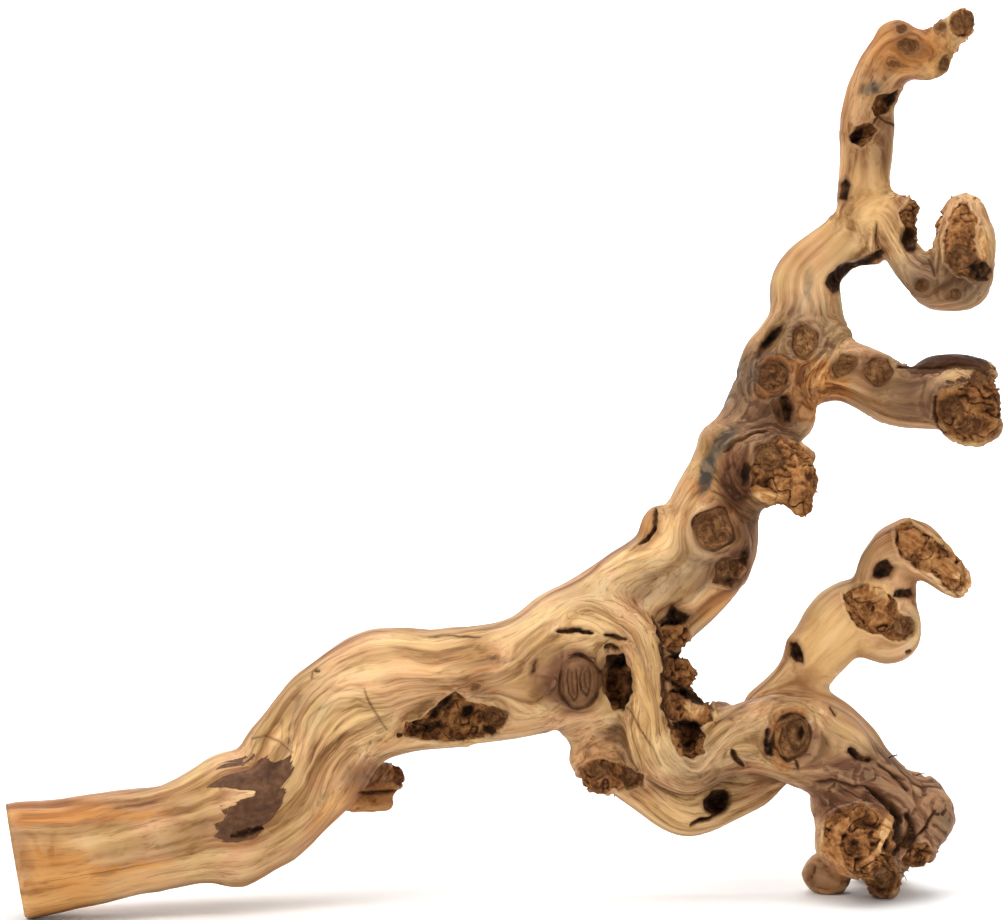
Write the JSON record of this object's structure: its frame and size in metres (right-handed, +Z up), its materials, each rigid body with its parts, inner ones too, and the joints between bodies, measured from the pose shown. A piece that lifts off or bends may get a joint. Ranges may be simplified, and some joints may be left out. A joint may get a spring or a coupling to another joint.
{
  "type": "grapevine driftwood branch",
  "caption": "Sandblasted grapevine wood: a smooth sawn stem that curves up and forks into gnarled, broken-ended limbs, standing on its cut rim and a knuckled burl.",
  "frame": {"origin": "middle of the bounding box at the height of the surface it stands on", "axes": "+X along the vine from the sawn butt to the burl, +Z up, -Y towards the side that is seen in the picture"},
  "size_m": [0.6184, 0.1854, 0.5644],
  "materials": {
    "blasted_vine_wood": "bare sandblasted wood, streaked golden tan and grey, with brown broken ends"
  },
  "bodies": {
    "root": {"grapevine": "blasted_vine_wood"}
  },
  "joints": []
}
